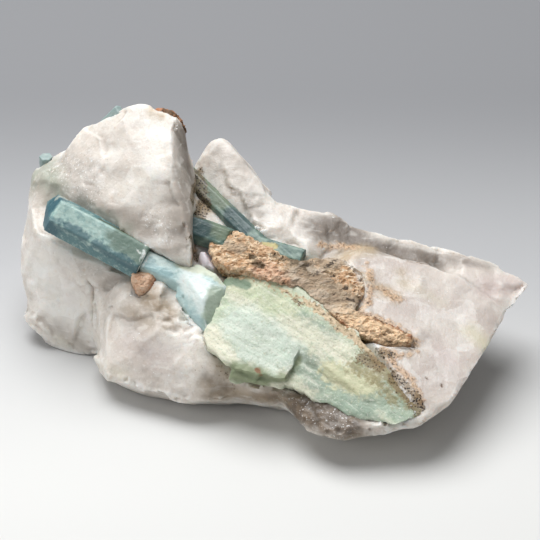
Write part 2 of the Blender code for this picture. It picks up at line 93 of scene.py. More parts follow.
# Marks on each stone. A mark is a list of strokes: the places that a stroke runs through, how far it
# reaches to each side, and how strong it is.
QUARTZ_MARKS = {
    "stain": [
        ([(-23.8, 32.9, 48.6), (-24.7, 22.1, 49.6), (-25.1, 13.5, 50.8)], 3, 1),
        ([(-24.1, 17.1, 44.7), (-23.1, 15.7, 43.4), (-21.4, 21.8, 43.8)], 3.5, 1),
        ([(-24.9, 2, 44.4), (-24.4, 3.5, 39), (-23, 4.8, 33.6)], 2.2, 0.9),
        ([(-16.1, -28.1, 17.7), (-13.7, -29.8, 14.4), (-11.9, -30.5, 12.6)], 2.5, 0.35),
        ([(33.8, -36.3, 24), (37.9, -39.7, 21.3), (41.9, -43.7, 19.3), (43.6, -46.6, 17)], 2.2, 0.9),
        ([(29.7, -31, 26.5), (35, -31.5, 25.5)], 2.5, 0.8),
    ],
    "umber": [
        ([(-37.1, -9, 29.1), (-33, -12, 28), (-31.5, -15.5, 25.5)], 5, 0.8),
        ([(-40.2, -5, 31), (-37.1, -9, 29.1), (-31.5, -13.2, 27.7)], 7, 0.8),
        ([(-43.3, -8.8, 25.2), (-37, -14.2, 23.5)], 5, 0.5),
        ([(-17, -25.4, 20.5), (-14, -29.3, 15.9)], 6, 0.6),
        ([(-18, -30, 11), (-9, -31.2, 10.6), (0, -34, 11), (9, -41, 12)], 7, 0.8),
        ([(-56, 12, 44), (-48.8, 8, 42.5)], 5, 0.5),
    ],
    "smoky": [
        ([(8.4, -40.8, 13.5), (13, -43, 13.6), (18, -46.5, 13.6), (22, -49, 13.8)], 11, 1),
        ([(-3, -33.5, 11.2), (3, -36.5, 12), (8.4, -40.8, 13.5)], 6, 0.4),
        ([(8.1, -42.4, 12.8), (16.9, -48.9, 12.4)], 7, 1),
        ([(-20.1, -28.8, 15.5), (-14.1, -30.4, 11.8)], 5, 0.4),
    ],
    "lilac": [
        ([(-20.4, 1.1, 38.4), (-18.4, 5.2, 34.8), (-17.5, 4, 32)], 6, 1),
        ([(-20.4, -0.4, 37.2), (-20, 2, 33)], 5, 1),
    ],
    "moss": [
        ([(-76, 40, 42), (-73.4, 42.5, 44), (-69.9, 32.6, 45.8), (-67.2, 28.7, 43.8)], 9, 0.6),
        ([(-64.5, 26, 43.3), (-69, 20.2, 44.5)], 6, 0.35),
        ([(-64, 22, 46), (-54, 13, 45), (-45, 7, 44)], 4.5, 0.45),
        ([(8, -0.5, 38), (11.8, 4.5, 35.3)], 4, 0.6),
    ],
    "shade": [
        ([(14.4, 15, 39.4), (19.8, 16.8, 38.2), (25.1, 15.4, 36.1)], 9, 1),
        ([(22.8, 13.3, 36), (32.2, 11.8, 34), (41.5, 11, 31.6), (49.4, 10.4, 29.7)], 7, 1),
        ([(49.5, 12.9, 30.7), (61, 11.5, 28.5), (67, 10.5, 27.2)], 5, 0.5),
        ([(-27, 32.5, 62.5), (-26.2, 23.1, 57.4), (-24.7, 22.2, 50.6)], 7, 0.65),
        ([(-44.7, 34, 64.1), (-40.9, 32.8, 65.6)], 5, 0.15),
        ([(-8.3, 19.9, 44.7), (-3, 16.6, 43.1)], 5, 0.5),
        ([(-17.9, 39, 53), (-11.5, 29.5, 49.7), (-5.2, 21.3, 45.6)], 14, 0.3),
        ([(-8.4, 33.4, 50.9)], 8, 0.45),
        ([(-8.6, 24.1, 47.5)], 9, 0.4),
    ],
    "tan": [
        ([(17.8, 1, 37), (22.7, 6.2, 34.1), (28.9, 9, 34.4)], 6, 0.9),
        ([(29, -4.4, 34.8), (25.4, -4, 34.9)], 5, 0.8),
        ([(33, -7.5, 32.9), (36.6, -9.1, 31.4)], 5, 0.8),
        ([(40, 0.8, 33.4), (40.8, -4.1, 32.3)], 4, 0.5),
        ([(-37.9, 36.9, 68.9), (-34, 33, 69)], 3, 0.6),
        ([(-23.9, 21.9, 45.3), (-19.2, 19.1, 42.6)], 3, 0.6),
    ],
    "yellow": [
        ([(60, -18.2, 24.5), (64.4, -22.1, 21.8)], 6, 0.7),
        ([(51.3, -9, 29.1), (39.2, -3.6, 32.7)], 5, 0.4),
        ([(-66.9, 4.2, 4), (-55, -8, 5), (-46.2, -22.5, 10.7)], 5, 0.4),
    ],
    "pink": [
        ([(67.5, 0.8, 25.8), (75.7, 5.2, 24.6)], 8, 0.8),
        ([(50.3, -28, 24.4), (54.7, -30.4, 22.4)], 6, 0.5),
        ([(-66, 9.5, 27.3), (-63, 5.3, 18.8)], 7, 0.3),
        ([(-43.1, -16, 19.1), (-33.8, -22.9, 16.7)], 10, 0.5),
    ],
    "aqua": [
        ([(-29.1, -9.6, 31.4), (-28.4, -11.3, 30.8), (-27.8, -13.6, 28.6), (-26.2, -15.9, 27.3)], 3, 1),
        ([(-26.2, -15.9, 27.3), (-21.7, -16.6, 27.1)], 2.5, 0.9),
    ],
    "spark": [
        ([(-67.1, 38.1, 47.9), (-61.6, 29.1, 49.9), (-56.5, 21.8, 49)], 8, 1),
        ([(-58.4, 30.9, 54.3), (-61.6, 29.1, 49.9)], 7, 0.9),
        ([(-37.3, 9, 48.2), (-33.2, 3.3, 44.7)], 6, 0.8),
        ([(5.5, -37.2, 10.7), (16, -46.1, 13.3), (20.1, -49.3, 12.8)], 8, 0.55),
    ],
    # Creases are cut in as grooves and painted darker along them, as painted shade.
    "crease": [
        ([(-69.3, 13.5, 30.2), (-68.6, 9.1, 19.9), (-65.8, 5.8, 14.5), (-64, 4.2, 11),
          (-55.2, 0.7, 11.3)], 2, 0.2),
        ([(45.8, 9.5, 31.1), (52.4, 8.3, 28.9), (58.3, 4.6, 28.8), (64.3, -0.1, 26.5),
          (72.4, -5.2, 23.3)], 1.5, 0.8),
        ([(26.6, 12.3, 35.2), (35.3, 11.8, 33.3), (39.9, 10, 31.8), (45.5, 4.2, 33.3)], 1.5, 1),
        ([(-48.8, -16.1, 14.6), (-37, -15.4, 21.7), (-28.4, -15.6, 26.4)], 1.2, 0.5),
        ([(-45.6, -22, 11.4), (-33.8, -21.1, 18.4), (-22.2, -21.3, 23)], 1.2, 0.5),
        ([(-39.9, -26.1, 10), (-27.7, -25.6, 16.5), (-19.5, -24.7, 21.1)], 1.2, 0.6),
        ([(-53.2, 2.1, 24.2), (-54.2, -2.7, 15), (-53, -11.6, 8.9)], 1.4, 0.4),
        ([(-50.6, 36.9, 62.4), (-43.5, 34.5, 65.2), (-37.7, 31, 65.9)], 1.2, 0.2),
        ([(46.1, -21.9, 27.3), (54.5, -7.8, 28.2), (61.1, -1.4, 27.4)], 1.2, 0.5),
    ],
    # Crests are raised a little and painted lighter along them, as painted highlight.
    "crest": [
        ([(-32, -16, 24.4), (-29, -16, 25.9), (-27.8, -12.8, 27.7), (-27.9, -9.5, 28.7)], 1.2, 1),
        ([(-49.3, -22.6, 8.8), (-38.7, -26.7, 9.3), (-26.4, -31.3, 8.7), (-20.1, -31.8, 8.7),
          (-6.5, -32, 9.6)], 1.3, 1),
        ([(-30, 33.8, 67.9), (-30.7, 27.1, 65.8), (-30.5, 16.6, 61.5), (-28, 11.3, 55.8), (-25.5, 7.8, 50.1),
          (-24.9, 0.3, 43)], 1.2, 0.8),
        ([(35.5, 16.6, 34.5), (49.6, 14.9, 31.1), (62.1, 13.8, 28.8), (71.2, 8.1, 26.7)], 1.2, 0.3),
        ([(77.2, 3.9, 23.6), (62.5, -28, 20.6), (52.6, -44, 17.2)], 1.2, 0.7),
        ([(-52.6, 0.4, 22.3), (-49.4, 1, 25.7), (-45.3, -1.6, 29.8)], 1.2, 0.6),
        ([(-18.8, 39.1, 52.9), (-15.7, 41.1, 54.2), (-11.9, 36.7, 52.5), (-6.8, 31, 49.8)], 1.2, 0.6),
        ([(-46, -21, 11), (-38, -19, 17.5), (-30, -18.5, 22)], 2.2, 0.3),
        ([(-50, -14, 14), (-42, -12.5, 20), (-34, -12, 26)], 2.0, 0.5),
    ],
    # Painted shade on the quartz, with some of its own greyish tone.
    "grey_and_shade": [
        ([(-27, 29.8, 63), (-25.5, 19.7, 56), (-27, 9, 52), (-27, 3.8, 48)], 9, 1),
        ([(-76, 42, 42), (-73, 36, 44), (-69, 26, 44)], 11, 1),
        ([(-31, 24, 64), (-30.5, 16.6, 61.5), (-28, 11.3, 55.8)], 3.5, 0.6),
        ([(-54.5, 38, 61), (-53.8, 36.4, 60), (-52.9, 32.2, 58.2)], 3, 0.5),
        ([(-50.1, -2.5, 24.4), (-44, -9, 22), (-40.4, -16.4, 19.3)], 8, 0.45),
        ([(-49.9, 2, 28), (-44.2, 0.4, 29.9), (-40.2, -7.3, 29.4)], 6, 0.7),
        ([(-66.7, 4.9, 7.4), (-60.4, 1.6, 4), (-56.6, 0.8, 1.8)], 6, 0.6),
        ([(-36.9, -26.5, 10.3), (-24.6, -31.1, 10.1), (-12.6, -30.8, 9.4)], 7, 0.3),
        ([(-66, 24, 44), (-58, 19, 47), (-48, 12, 46.5), (-38, 6, 44)], 6, 0.8),
        ([(-30, 8, 49), (-27, 3, 44), (-30, 1, 42)], 7, 0.6),
        ([(-67.1, 38.1, 47.9), (-61.6, 29.1, 49.9), (-56.5, 21.8, 49)], 10, 0.55),
    ],
    # Painted light: the peak and the left boulder are laid paler than the lamps leave them.
    "painted_light": [
        ([(-50.4, 30.4, 58.3), (-40.8, 31.6, 64.9), (-34.2, 14.6, 57.3)], 16, 0.25),
        ([(-71.1, 12.6, 25.1), (-66.3, 7, 17.6), (-61.9, 2.3, 5.4)], 14, 0.9),
    ],
    # Painted shade over the white slab of quartz, in a darker and pinker tone than the lamps leave it.
    "blush_and_shade": [
        ([(45.2, -6.8, 31.2), (57.4, -11, 26.8), (50.2, -31.4, 23.2)], 24, 1),
        ([(36.3, 0.1, 33.9), (61.4, 3.1, 28)], 16, 1),
    ],
    "fleck": [
        ([(45.4, -37.4, 21.4), (45.7, -37.9, 21.1)], 0.8, 0.55),
        ([(49.8, -38.9, 19.9), (50.1, -39.8, 19.6)], 0.8, 0.6),
        ([(-63, 22, 47.5)], 0.9, 0.9),
        ([(-60, 25, 48.5)], 0.8, 0.8),
    ],
    "fray": [
        ([(29.6, 1.8, 35.7), (30.6, -5.6, 34.2), (29.2, -12.5, 31.6), (24.8, -17.8, 30.9)], 2.6, 1),
        ([(24.8, -17.8, 30.9), (31.1, -18.5, 29.2), (38.5, -21.6, 28.5), (43.5, -26.4, 26.1)], 2.4, 1),
        ([(43, -29.3, 25.3), (38.1, -32, 25.2), (32.9, -29.9, 25.8)], 2.2, 0.9),
        ([(33, -7.1, 33), (35.4, -8.7, 31.9), (37.8, -10.3, 31.1)], 3, 1),
        ([(15, 8.9, 36.8), (21.2, 10.8, 35.5), (27.4, 10, 34.5)], 2.5, 0.8),
        ([(33.4, -30.6, 25.6), (36.8, -35.4, 24), (40.9, -39.1, 21.6), (43.6, -45.1, 18.1)], 2.2, 0.9),
        ([(-23.2, 6.6, 42.1), (-23.9, 5.9, 37.3), (-24.9, -0.9, 37.6)], 2, 0.8),
    ],
    "calm": [
        ([(45, -5, 31), (50, -20, 27), (46, -35, 22)], 26, 1),
        ([(-38, 15, 56), (-45, 22, 55)], 14, 0.6),
    ],
}

# Where the quartz is broken into broad flat faces, and where its edges are ragged.
BROAD_FACES = [
    ([(-46, -8, 26), (-36, -14, 24), (-26, -22, 20)], 8, 1),
    ([(-76, 20, 18), (-68, 6, 10), (-58, 0, 6)], 18, 1),
    ([(-75, 22, 28), (-66, 8, 25), (-55, 2, 18)], 8, 1),
    ([(-50, 52, 34), (-20, 50, 30), (20, 38, 22)], 16, 1),
    ([(-78, 30, 10), (-60, 46, 14), (-20, 50, 12), (30, 36, 8)], 20, 1),
]
RAGGED_EDGES = [
    ([(-51, -21, 8), (-43, -23, 8.5), (-33, -27.5, 8), (-26, -31, 7.5), (-12, -31, 8), (5, -34, 8),
      (9, -43, 9.5), (14, -50, 10), (20, -53, 11), (36, -52, 13), (44, -51, 14)], 3.4, 0.8),
    ([(-77, 12, 7), (-72, 7, 2), (-62, 2, 1), (-55, 1, 2)], 4, 0.8),
    ([(-33, -14, 26), (-24, -19, 24)], 3.5, 0.8),
]

# Where the quartz draws back from the pale block.
QUARTZ_HOLLOWS = [([(-30.5, -9.5, 31.5), (-28, -13.6, 29), (-24.5, -17, 27)], 4, 1)]

# Flat faces of the quartz: three corners, anticlockwise as seen from outside, and how far the face reaches.
QUARTZ_FACES = [
    (((28.5, 7.8, 36), (27.5, -21, 29), (56.5, 4.8, 30)), 20),
    (((35.5, -35, 24), (56.5, -38, 18.7), (56.5, 0, 29.5)), 24),
    (((71.5, -9, 23), (52.5, -45, 17), (57.5, -22, 9)), 22),
    (((46.5, -50, 15), (62.5, -29, 20), (45.5, -39, 7)), 14),
    (((-49.3, -21.7, 10.1), (-31.5, -19.3, 23.6), (-46.8, -5.3, 26.4)), 13),
    (((-49.3, -21.7, 10.1), (-24.9, -30.9, 11), (-31.5, -19.3, 23.6)), 14),
]

PRISM_MARKS = {
    "tip": [
        ([(-69.5, 15.5, 44), (-67, 17, 47.5)], 5.6, 1),
        ([(-68.6, 9.5, 43)], 5.2, 1),
    ],
    "dark": [
        ([(-63.1, 7.7, 44.6), (-60, 6.4, 43.7), (-57.5, 5.1, 42.7)], 2.6, 0.9),
        ([(-54.1, 3.3, 41.3), (-51.3, 2, 40), (-48.8, 1, 38.5)], 2.4, 0.8),
        ([(-47, 0.1, 38.3), (-43.9, -1.2, 37), (-41.4, -2.3, 35.5)], 3, 0.9),
        ([(-65.6, 9, 45.6), (-64.4, 7.9, 43.4)], 2, 0.6),
    ],
    "glass": [
        ([(-45.8, 4.3, 42.1), (-42.7, 2.3, 40.6), (-40, 0.7, 39.4)], 6.5, 1),
        ([(-49.5, 5.4, 42.9), (-47, 4.3, 42.1)], 4, 0.6),
    ],
    "rim": [
        ([(-53, 11, 45.4), (-49.3, 9.4, 44), (-45.4, 7.6, 42.7), (-41.9, 6, 41.3), (-38.8, 4, 40.6)], 1.2, 1),
    ],
    "glint": [
        ([(-41.5, 1.8, 40.2), (-40.2, 0.5, 39.2), (-40.5, -1.3, 37.8)], 0.6, 0.8),
        ([(-43.5, -1.3, 37.8), (-42, -2.1, 36.9)], 0.6, 0.7),
        ([(-38.8, 3.3, 40.6), (-39.3, 0.7, 39.4), (-40.2, -0.6, 37.3), (-41.5, -1.7, 35.1)], 1, 1),
    ],
    "crust": [([(-68, 18.3, 48.3), (-65.5, 18, 48.5), (-64, 17.5, 48)], 1.3, 1)],
}

SHAFT_MARKS = {
    "rim": [([(-36.3, 4.2, 38.6), (-32.6, 2.6, 37.6), (-27.9, 0.6, 36.6), (-24.5, -1, 36)], 1.1, 1)],
    "deep": [
        ([(-37.5, 0.6, 37.4), (-36.6, 0.1, 37.1)], 1.6, 1),
        ([(-39, -0.5, 36.5), (-36.6, -1.6, 35.8), (-33.5, -2.7, 35.1), (-31.6, -3.5, 34.5)], 2.2, 0.9),
        ([(-25.9, -15.4, 27.8), (-23.5, -17.4, 26.9), (-21.6, -18.8, 25.7)], 4, 1),
        ([(-27.8, -12.5, 29.7), (-26.5, -14.3, 28.4)], 3, 0.7),
    ],
    "cloud": [([(-24.9, -6, 34.4), (-21.7, -9.9, 32.7), (-20.2, -12.8, 31.1)], 6, 1)],
    "notch": [([(-27.8, -9.8, 31.1), (-27.5, -11.8, 30.4)], 1.8, 1)],
    "shade": [([(-17, -10.5, 32), (-17.6, -13.3, 29.2), (-18.8, -17, 26.7)], 4.6, 1)],
    "bank": [([(-28, -0.5, 37.5), (-24, -1.8, 36), (-19, -3, 35.8), (-15, -6, 35)], 3.2, 1)],
    "glint": [
        ([(-20.8, -12.5, 31.6), (-21.1, -14.6, 28.6), (-20.5, -16.7, 26.4), (-19.8, -18.6, 25.2)], 0.6, 0.8),
        ([(-38.4, 2.4, 38.4), (-38.4, 1.1, 37.6), (-39.6, -1.1, 36.2)], 0.8, 0.7),
    ],
}

SLAB_MARKS = {
    "blue": [
        ([(-9.5, -20.2, 27.9), (-2.9, -25.3, 26.1), (2.5, -28.7, 24.9)], 10, 1),
        ([(-8, -27.7, 24.1), (1, -31.4, 23.2)], 7, 0.8),
    ],
    "lime": [
        ([(-17, -6, 34.6), (-12.7, -5.4, 34), (-5, -10.4, 33.8), (4, -14.3, 32.9)], 6, 0.9),
        ([(-2, -15.2, 31.7), (8.5, -17.7, 31.6)], 5, 0.7),
    ],
    # Painted shade: a dark grey-green line near the pale block.
    "arc": [([(-14, -6.3, 33.2), (-11.5, -6.5, 34.3), (-8, -8.5, 34.3)], 2.4, 1)],
    "cream": [
        ([(-17.9, -22.7, 24.9), (-16.1, -26.6, 23.3), (-13, -30, 22.1)], 5, 0.8),
        ([(8.5, -23.4, 28.4), (17.4, -28.6, 26.6), (21.8, -32.6, 24.9)], 6, 0.7),
    ],
    "olive": [
        ([(-10.7, -32.4, 19.4), (-7.1, -33.4, 19.1), (-3.5, -34.3, 18.7)], 5, 1),
        ([(-0.5, -34.6, 18.9), (3.7, -36.8, 20.2)], 3, 0.7),
        ([(7.9, -29.7, 21.9), (6.1, -32.4, 19.5), (5.2, -29.7, 14.3)], 3, 0.8),
    ],
    "rust": [([(-4.7, -33.7, 21.2), (-3.8, -34.4, 20.3)], 1.3, 0.9)],
    "deep": [
        ([(8.5, -31, 21.8), (11.5, -34, 20.8), (14.1, -36.6, 20.2)], 5.5, 1),
        ([(21.6, -42.9, 17.1), (27.5, -45.9, 16.5)], 5, 0.8),
        ([(10, -20.7, 30.1), (17.4, -25.8, 28.3)], 6, 0.5),
    ],
    "pale": [
        ([(32.8, -43.4, 19.4), (36.2, -46, 17.7), (39.2, -47.7, 16.4)], 7, 0.9),
        ([(16, -42, 18), (21.6, -45.4, 15.3), (28.9, -49.4, 14.8)], 6, 0.9),
    ],
    "yellow": [([(17, -35.8, 22), (22.6, -38.7, 21.3), (25.5, -40.3, 20.7), (29, -40.7, 21)], 5, 1)],
    "speck": [
        ([(26.8, -33.2, 25.3), (29.1, -34.6, 24.9), (31.5, -35.9, 24.4)], 3.5, 0.9),
        ([(35.5, -39.2, 22.5), (38.4, -42.3, 20.4), (40.7, -45.2, 18.9), (43, -48.5, 17)], 3, 0.9),
        ([(6.7, -14.6, 33.1), (8.5, -16, 32.6)], 2, 0.6),
    ],
    "ochre": [
        ([(40.7, -45.2, 18.9), (35.5, -39.2, 22.5), (31.5, -35.9, 24.4)], 4, 0.9),
        ([(24, -35, 24), (30, -39, 22.5), (36, -45, 19)], 4, 0.6),
    ],
    "fray": [
        ([(-14, -4.4, 36), (-7, -7.4, 37), (-1.5, -10.4, 36.5), (6, -13.5, 35), (11, -16, 33.5),
          (16, -20, 32), (22, -25.5, 30), (28, -31, 28), (33, -36, 25.5)], 2.6, 1),
    ],
    "rim": [
        ([(15.8, -34.8, 22.1), (20.2, -38.7, 20.6), (23.7, -40.9, 18.9), (29, -43.7, 17.7)], 1.2, 1),
    ],
}

LONG_MARKS = {
    "night": [([(-12.3, 16.2, 43.1), (-9.2, 12.6, 41.7)], 5, 1)],
    "moss": [([(-20.6, 30.7, 47), (-17.7, 24.7, 46.4), (-15.5, 21, 45.1)], 5, 0.8)],
    "stain": [([(-24.1, 32.4, 48.9), (-23.1, 27.7, 47.1), (-22.4, 24.9, 44.8), (-21.4, 21.8, 43.8)], 3.6, 1)],
    "yellow": [([(-3, 5.2, 39.3), (0.1, 4.6, 39.4)], 2, 1)],
}
SHORT_MARKS = {
    "night": [([(-24.5, 10.5, 45), (-22, 8.4, 43.8)], 5, 1)],
    "stain": [([(-25, 12, 44.5), (-22, 12.5, 43.5)], 2.4, 0.8)],
    "moss": [([(-18.3, 8.9, 44.2), (-15.2, 7.3, 43.1)], 4.5, 1)],
}

VEIN_MARKS = {
    "grey_and_shade": [
        ([(-13.1, 3.6, 40.4), (-10.3, 2, 40)], 3.5, 0.9),
        ([(8.6, -4.1, 36.8), (13.1, -9.2, 34.8), (19.1, -14.1, 32.7)], 8, 1),
        ([(8.6, -10.9, 34.2), (20.6, -15.8, 32.1), (24.2, -15.5, 31.9)], 6, 1),
        ([(16.3, -0.5, 37.3), (22.7, 3, 36)], 6, 0.8),
    ],
    "pit": [
        ([(-5.4, -3.1, 38.3), (-3.5, -3.7, 38)], 2.2, 1),
        ([(-7.8, -0.2, 39.3), (-6, -0.9, 39)], 1.7, 0.8),
        ([(0.1, 0, 39.2), (3.8, -1.3, 38.6), (6.2, -2.5, 37.9)], 2.6, 0.5),
        ([(5, 0.7, 37.9), (8.7, -1.9, 37.5), (11.1, -3.9, 36.6)], 3, 0.8),
    ],
    "pink": [([(-2.9, -5.9, 37.3), (1, -8.6, 36.2), (5.6, -9.6, 34.7)], 6, 0.9)],
    "white": [
        ([(24.6, 1.1, 36.2), (27, -1.7, 35.1), (27.5, -6, 32.5)], 4, 0.9),
        ([(18, 6.2, 34.8), (22.6, 4, 34.2)], 3, 0.8),
    ],
    "light": [
        ([(20.9, -18.2, 31.2), (26.2, -22.4, 29.5), (32.1, -24.7, 28.5), (36.6, -26.3, 27.5)], 5, 1),
        ([(-17, 0, 41), (-12, 4, 42), (-6, 1, 40.5), (-8, -4, 38.5)], 5, 0.35),
    ],
    "crack": [
        ([(12.9, -5.8, 35.8), (17.9, -0.5, 36.5), (23.7, 8.8, 34.6)], 1.2, 0.9),
        ([(22.5, -13.6, 32.8), (24.3, -14.1, 32.4)], 0.9, 0.9),
        ([(15.5, -8, 34.8), (20.5, -3, 35.2), (25.5, 3, 34.6)], 0.9, 0.75),
        ([(10, -3, 37), (14.5, 2.5, 37.2)], 0.9, 0.75),
        ([(18, -12.5, 33.2), (22, -9.5, 33.6), (26, -5, 33)], 0.9, 0.75),
    ],
    "rust": [
        ([(31, -19.5, 30.2), (34.8, -21.3, 29.6), (38.4, -23.6, 28.8), (42.4, -26.5, 27.7)], 1.5, 0.9),
        ([(15.1, -18.6, 31.6), (18.1, -20.7, 30.8), (21.9, -23.4, 29.9)], 1.4, 0.8),
    ],
}

WEDGE_MARKS = {
    "pink": [([(-39, -5, 31)], 12, 1)],
    "red": [([(-35, -5, 31)], 5, 0.6)],
}
CAP_MARKS = {
    "red": [([(-34, 36, 69), (-28, 35, 63)], 9, 1)],
    "pit": [([(-33, 36, 69.5), (-27, 34, 62)], 3, 0.8)],
}


def solid_copy(name, swell=0.0):
    """The named solid with its doubled corners merged, standing out by swell on every side."""
    bm = bmesh.new()
    bm.from_mesh(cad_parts[name].data)
    bmesh.ops.remove_doubles(bm, verts=bm.verts, dist=MERGE_DISTANCE * MM)
    bm.normal_update()
    pushes = [vert.normal * min(vert.calc_shell_factor(), SHELL_LIMIT) * swell * MM for vert in bm.verts]
    for vert, push in zip(bm.verts, pushes):
        vert.co += push
    return bm


def add_piece(name, bm):
    mesh = bpy.data.meshes.new(name)
    bm.to_mesh(mesh)
    bm.free()
    piece = bpy.data.objects.new(name, mesh)
    bpy.context.scene.collection.objects.link(piece)
    return piece


def bake(piece):
    """Leaves the piece with the shape that its modifiers give it, and no modifiers."""
    bpy.context.view_layer.update()
    shaped = piece.evaluated_get(bpy.context.evaluated_depsgraph_get())
    mesh = bpy.data.meshes.new_from_object(shaped)
    piece.modifiers.clear()
    spare = piece.data
    piece.data = mesh
    bpy.data.meshes.remove(spare)
    return piece


def fine_skin(piece, grain):
    """One closed skin round everything in the piece, as fine as grain."""
    remesh = piece.modifiers.new("fine_skin", "REMESH")
    remesh.mode = "VOXEL"
    remesh.voxel_size = grain * MM
    return bake(piece)


def thin_out(piece, triangles):
    count = sum(len(polygon.vertices) - 2 for polygon in piece.data.polygons)
    if count > triangles:
        decimate = piece.modifiers.new("thinned", "DECIMATE")
        decimate.ratio = triangles / count
        bake(piece)


def places_of(piece):
    places = np.empty(len(piece.data.vertices) * 3)
    piece.data.vertices.foreach_get("co", places)
    return places.reshape(-1, 3) / MM


def normals_of(piece):
    normals = np.empty(len(piece.data.vertices) * 3, np.float32)
    piece.data.vertex_normals.foreach_get("vector", normals)
    return normals.reshape(-1, 3).astype(float)


def place_all(piece, places):
    """Sets the corners of the piece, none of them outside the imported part's box."""
    low, high = (np.array(corner) / MM for corner in CAD_BOX)
    piece.data.vertices.foreach_set("co", (np.clip(places, low, high) * MM).ravel())
    piece.data.update()


def ease(value, low, high):
    """0 below low, 1 above high, and a smooth rise between them."""
    share = np.clip((value - low) / (high - low), 0, 1)
    return share * share * (3 - 2 * share)


def marked(places, strokes):
    """How strongly the strokes mark each place: in full along a stroke, falling evenly to 0 at its reach."""
    strength_here = np.zeros(len(places))
    for points, reach, strength in strokes:
        points = np.array(points, float)
        starts, ends = (points[:-1], points[1:]) if len(points) > 1 else (points, points)
        for start, end in zip(starts, ends):
            run = end - start
            share = np.clip((places - start) @ run / max(run @ run, 1e-9), 0, 1)
            away = np.linalg.norm(places - start - share[:, None] * run, axis=1)
            strength_here = np.maximum(strength_here, strength * (1 - away / reach))
    return strength_here


def calmed(places, strokes, share, full=0.6):
    """1 away from the strokes, and less by share along them."""
    return 1 - share * ease(marked(places, strokes), 0.1, full)


def off_floor(places):
    """0 along the flat underside, and 1 from 2.5 mm above it."""
    return ease(places[:, 2], 0.3, 2.5)


def store(piece, name, values, kind="FLOAT", field="value"):
    attribute = piece.data.attributes.new(name, kind, "POINT")
    attribute.data.foreach_set(field, np.ascontiguousarray(values, np.float32).ravel())


def paint(piece, marks):
    places = places_of(piece)
    for name, strokes in marks.items():
        store(piece, name, marked(places, strokes))


def store_standout(piece, rounds=3):
    """Stores how far each corner stands out of the skin around it, in millimetres: above 0 along edges."""
    mesh = piece.data
    ends = np.empty(len(mesh.edges) * 2, np.int32)
    mesh.edges.foreach_get("vertices", ends)
    first, second = ends[0::2], ends[1::2]
    links = np.bincount(ends, minlength=len(mesh.vertices))[:, None]
    places = places_of(piece)
    around = places
    for _ in range(rounds):
        total = np.zeros_like(around)
        for side, other in ((first, second), (second, first)):
            for axis in range(3):
                total[:, axis] += np.bincount(side, around[other, axis], len(around))
        around = total / np.maximum(links, 1)
    store(piece, "standout", np.einsum("ij,ij->i", places - around, normals_of(piece)))


def growth_of(places, start, end, facing):
    """Each place as millimetres across, out of the broad face of, and along a crystal."""
    start, end, facing = (np.array(item, float) for item in (start, end, facing))
    along = (end - start) / np.linalg.norm(end - start)
    broad = facing - along * (facing @ along)
    broad /= np.linalg.norm(broad)
    return (places - start) @ np.array([np.cross(broad, along), broad, along]).T


def store_growth(piece, axis):
    store(piece, "growth", growth_of(places_of(piece), *axis), "FLOAT_VECTOR", "vector")


def relief(piece, height, calm=()):
    """Moves each corner out along its normal by its height, less along the calm strokes, and returns the
    heights."""
    places = places_of(piece)
    heights = np.array([height(Vector(place)) for place in places])
    if calm:
        heights *= calmed(places, calm, 0.65, 0.5)
    place_all(piece, places + normals_of(piece) * heights[:, None])
    return heights


def nearness(piece, names, reach):
    """For each named solid, the corners of the piece within reach of it, with the nearest place on it, the
    way out of it there, and how far the corner stands out of it."""
    places = places_of(piece)
    found = {}
    for name in names:
        bm = solid_copy(name)
        tree = BVHTree.FromBMesh(bm)
        bm.free()
        low, high = (np.array(corner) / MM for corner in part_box(name))
        inside = np.all((places > low - reach) & (places < high + reach), axis=1)
        found[name] = []
        for index in np.nonzero(inside)[0]:
            corner = Vector(places[index] * MM)
            spot, _, _, away = tree.find_nearest(corner)
            if away > reach * MM:
                continue
            faces = tree.find_nearest_range(corner, away * 1.02 + 0.002 * MM)
            normal = sum((face[1] for face in faces), Vector()).normalized()
            out = (corner - spot).dot(normal)
            found[name].append((index, np.array(spot) / MM, np.array(normal), math.copysign(away / MM, out)))
    return found


def sink_under_crystals(piece):
    """Draws the quartz skin in under the crystals and crusts, so that they stand in it without a gap."""
    places = places_of(piece)
    for name, near in nearness(piece, SET_IN_QUARTZ, reach=1.2).items():
        depth = SET_IN_QUARTZ[name]
        for index, spot, normal, away in near:
            if away > -depth:
                share = 1 - ease(away, 0.55, 1.1)
                places[index] += (spot - normal * depth - places[index]) * share
    place_all(piece, places)


